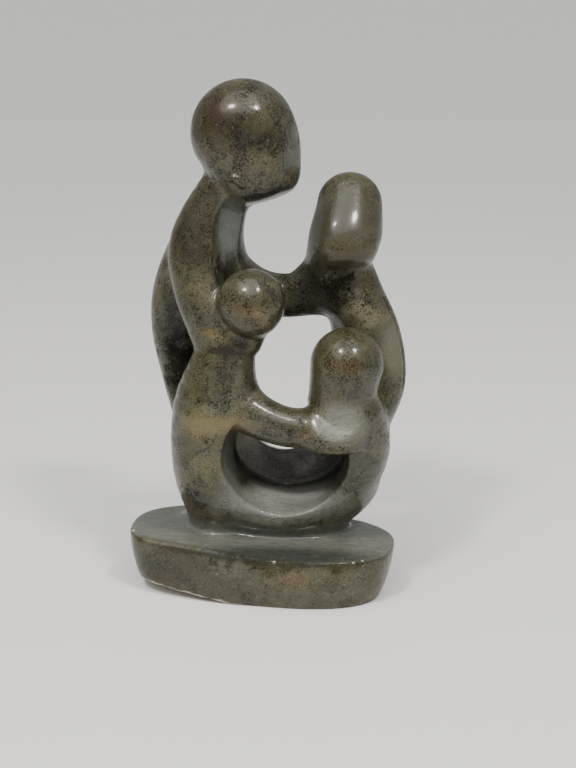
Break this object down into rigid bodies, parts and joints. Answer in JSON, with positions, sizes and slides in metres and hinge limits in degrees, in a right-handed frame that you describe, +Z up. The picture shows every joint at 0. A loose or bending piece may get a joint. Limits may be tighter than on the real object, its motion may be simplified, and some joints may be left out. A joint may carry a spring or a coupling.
{
  "type": "family group sculpture",
  "caption": "Carved stone table sculpture of two parents and their children in a closed ring, with plain rounded heads, on an oval base of the same stone.",
  "frame": {"origin": "on the flat underside, at the middle of the base", "axes": "+Z up through the crown of the tallest figure, +X to the viewer's right along the base, -Y towards the viewer, who looks at the children's faces"},
  "size_m": [0.1274, 0.0713, 0.2319],
  "materials": {
    "polished_stone": "satin polish"
  },
  "bodies": {
    "root": {"family_group": "polished_stone"}
  },
  "joints": []
}
